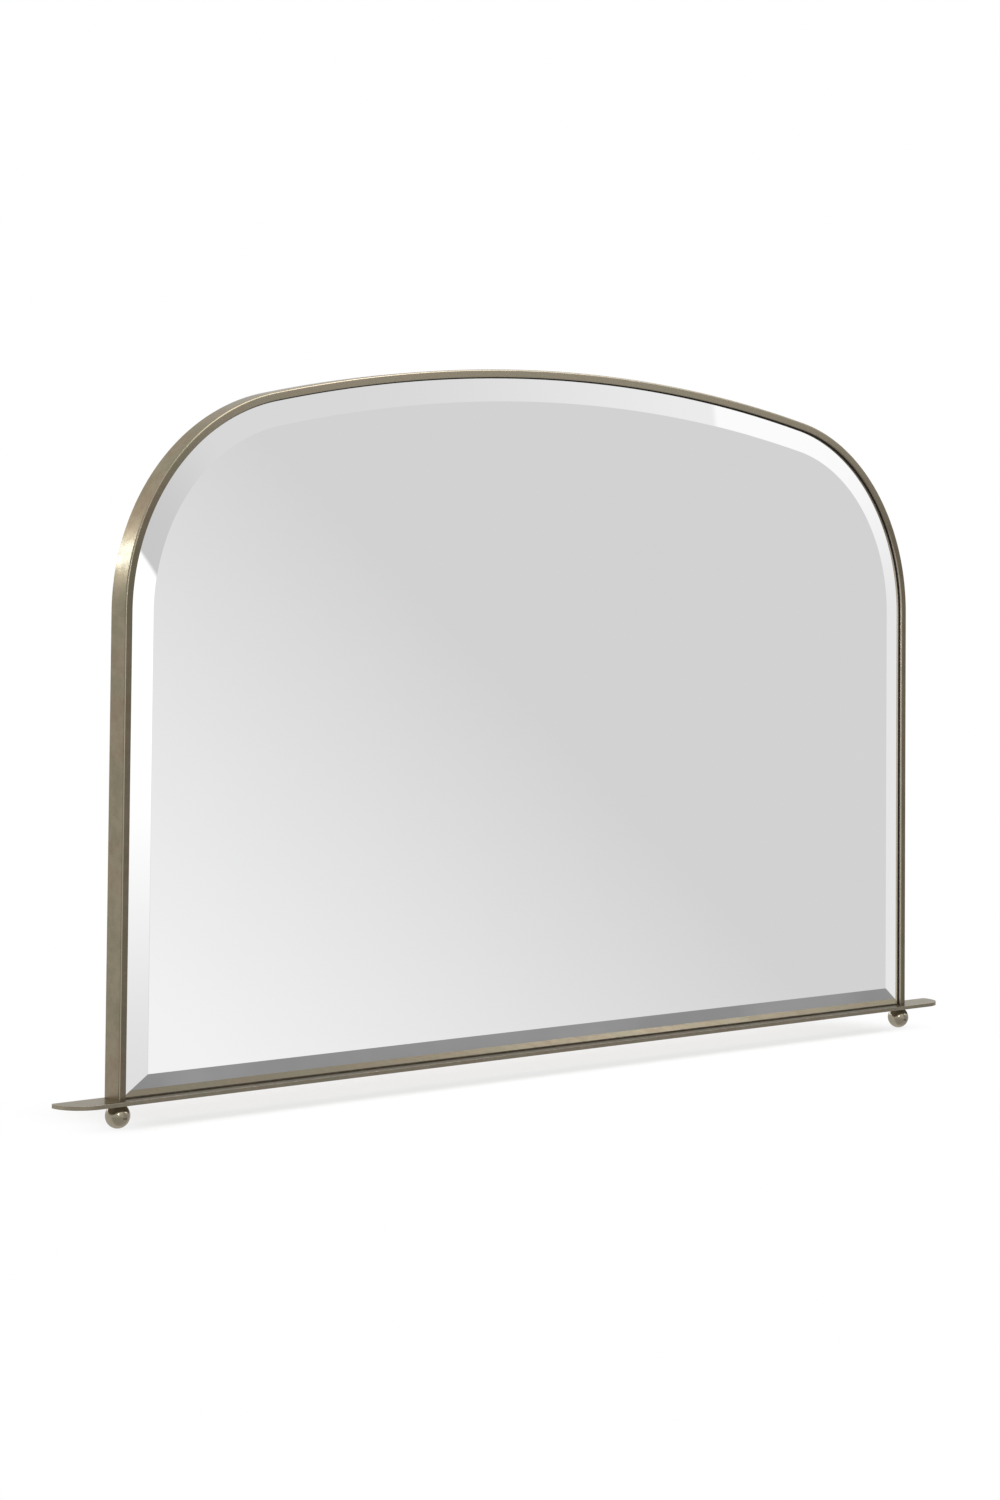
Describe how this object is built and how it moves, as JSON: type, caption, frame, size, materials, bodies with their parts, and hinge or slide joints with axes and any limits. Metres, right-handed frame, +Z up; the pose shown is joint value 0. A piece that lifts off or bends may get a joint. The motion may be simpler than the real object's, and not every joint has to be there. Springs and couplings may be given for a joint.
{
  "type": "overmantel mirror",
  "caption": "Arched beveled mirror in a narrow bent metal frame on a flat base bar with ball feet, with strap hangers behind.",
  "frame": {"origin": "on the wall plane, at the middle of the base bar's back edge", "axes": "+X along the base bar, +Y out of the back towards the wall, +Z up; the glass faces -Y"},
  "size_m": [1.27, 0.037, 0.7673],
  "materials": {
    "antique_metal": "antique brass plate, mottled, satin",
    "mirror_glass": "silvered float glass, polished bevel",
    "backing_paint": "grey backing paint over silver and copper",
    "black_rubber": "matt",
    "fibreboard": "medium-density board, sealed",
    "foam_tape": "closed-cell foam",
    "spring_steel": "blued spring steel",
    "zinc_steel": "bright zinc plate"
  },
  "bodies": {
    "mirror": {"frame_hoop": "antique_metal", "base_bar": "antique_metal", "foot_block_left": "zinc_steel", "hanger_plate_left": "zinc_steel", "foot_block_right": "zinc_steel", "hanger_plate_right": "zinc_steel", "ball_feet": "antique_metal", "ball_studs": "zinc_steel", "mirror_glass": "mirror_glass", "mirror_silvering": "backing_paint", "edge_gasket": "black_rubber", "setting_strip": "black_rubber", "backing_board": "fibreboard", "mirror_tape_1": "foam_tape", "mirror_tape_2": "foam_tape", "mirror_tape_3": "foam_tape", "mirror_tape_4": "foam_tape", "mirror_tape_5": "foam_tape", "spring_clip_left_1": "spring_steel", "spring_clip_right_1": "spring_steel", "spring_clip_left_2": "spring_steel", "spring_clip_right_2": "spring_steel", "spring_clip_left_3": "spring_steel", "spring_clip_right_3": "spring_steel", "spring_clip_left_4": "spring_steel", "spring_clip_right_4": "spring_steel", "spring_clip_crown": "spring_steel", "board_bracket_left": "zinc_steel", "board_bracket_centre": "zinc_steel", "board_bracket_right": "zinc_steel", "post_screws": "zinc_steel", "bracket_bolts": "zinc_steel", "bracket_screws": "zinc_steel", "hanger_screws": "zinc_steel"},
    "left_ring": {"hanger_ring_left": "zinc_steel"},
    "right_ring": {"hanger_ring_right": "zinc_steel"}
  },
  "joints": [
    {"name": "left_ring_swing", "type": "hinge", "parent": "mirror", "child": "left_ring", "pos_m": [-0.38, -0.00458, 0.522], "axis": [1, 0, 0], "range_deg": [0, 180]},
    {"name": "right_ring_swing", "type": "hinge", "parent": "mirror", "child": "right_ring", "pos_m": [0.38, -0.00458, 0.522], "axis": [1, 0, 0], "range_deg": [0, 180]}
  ]
}
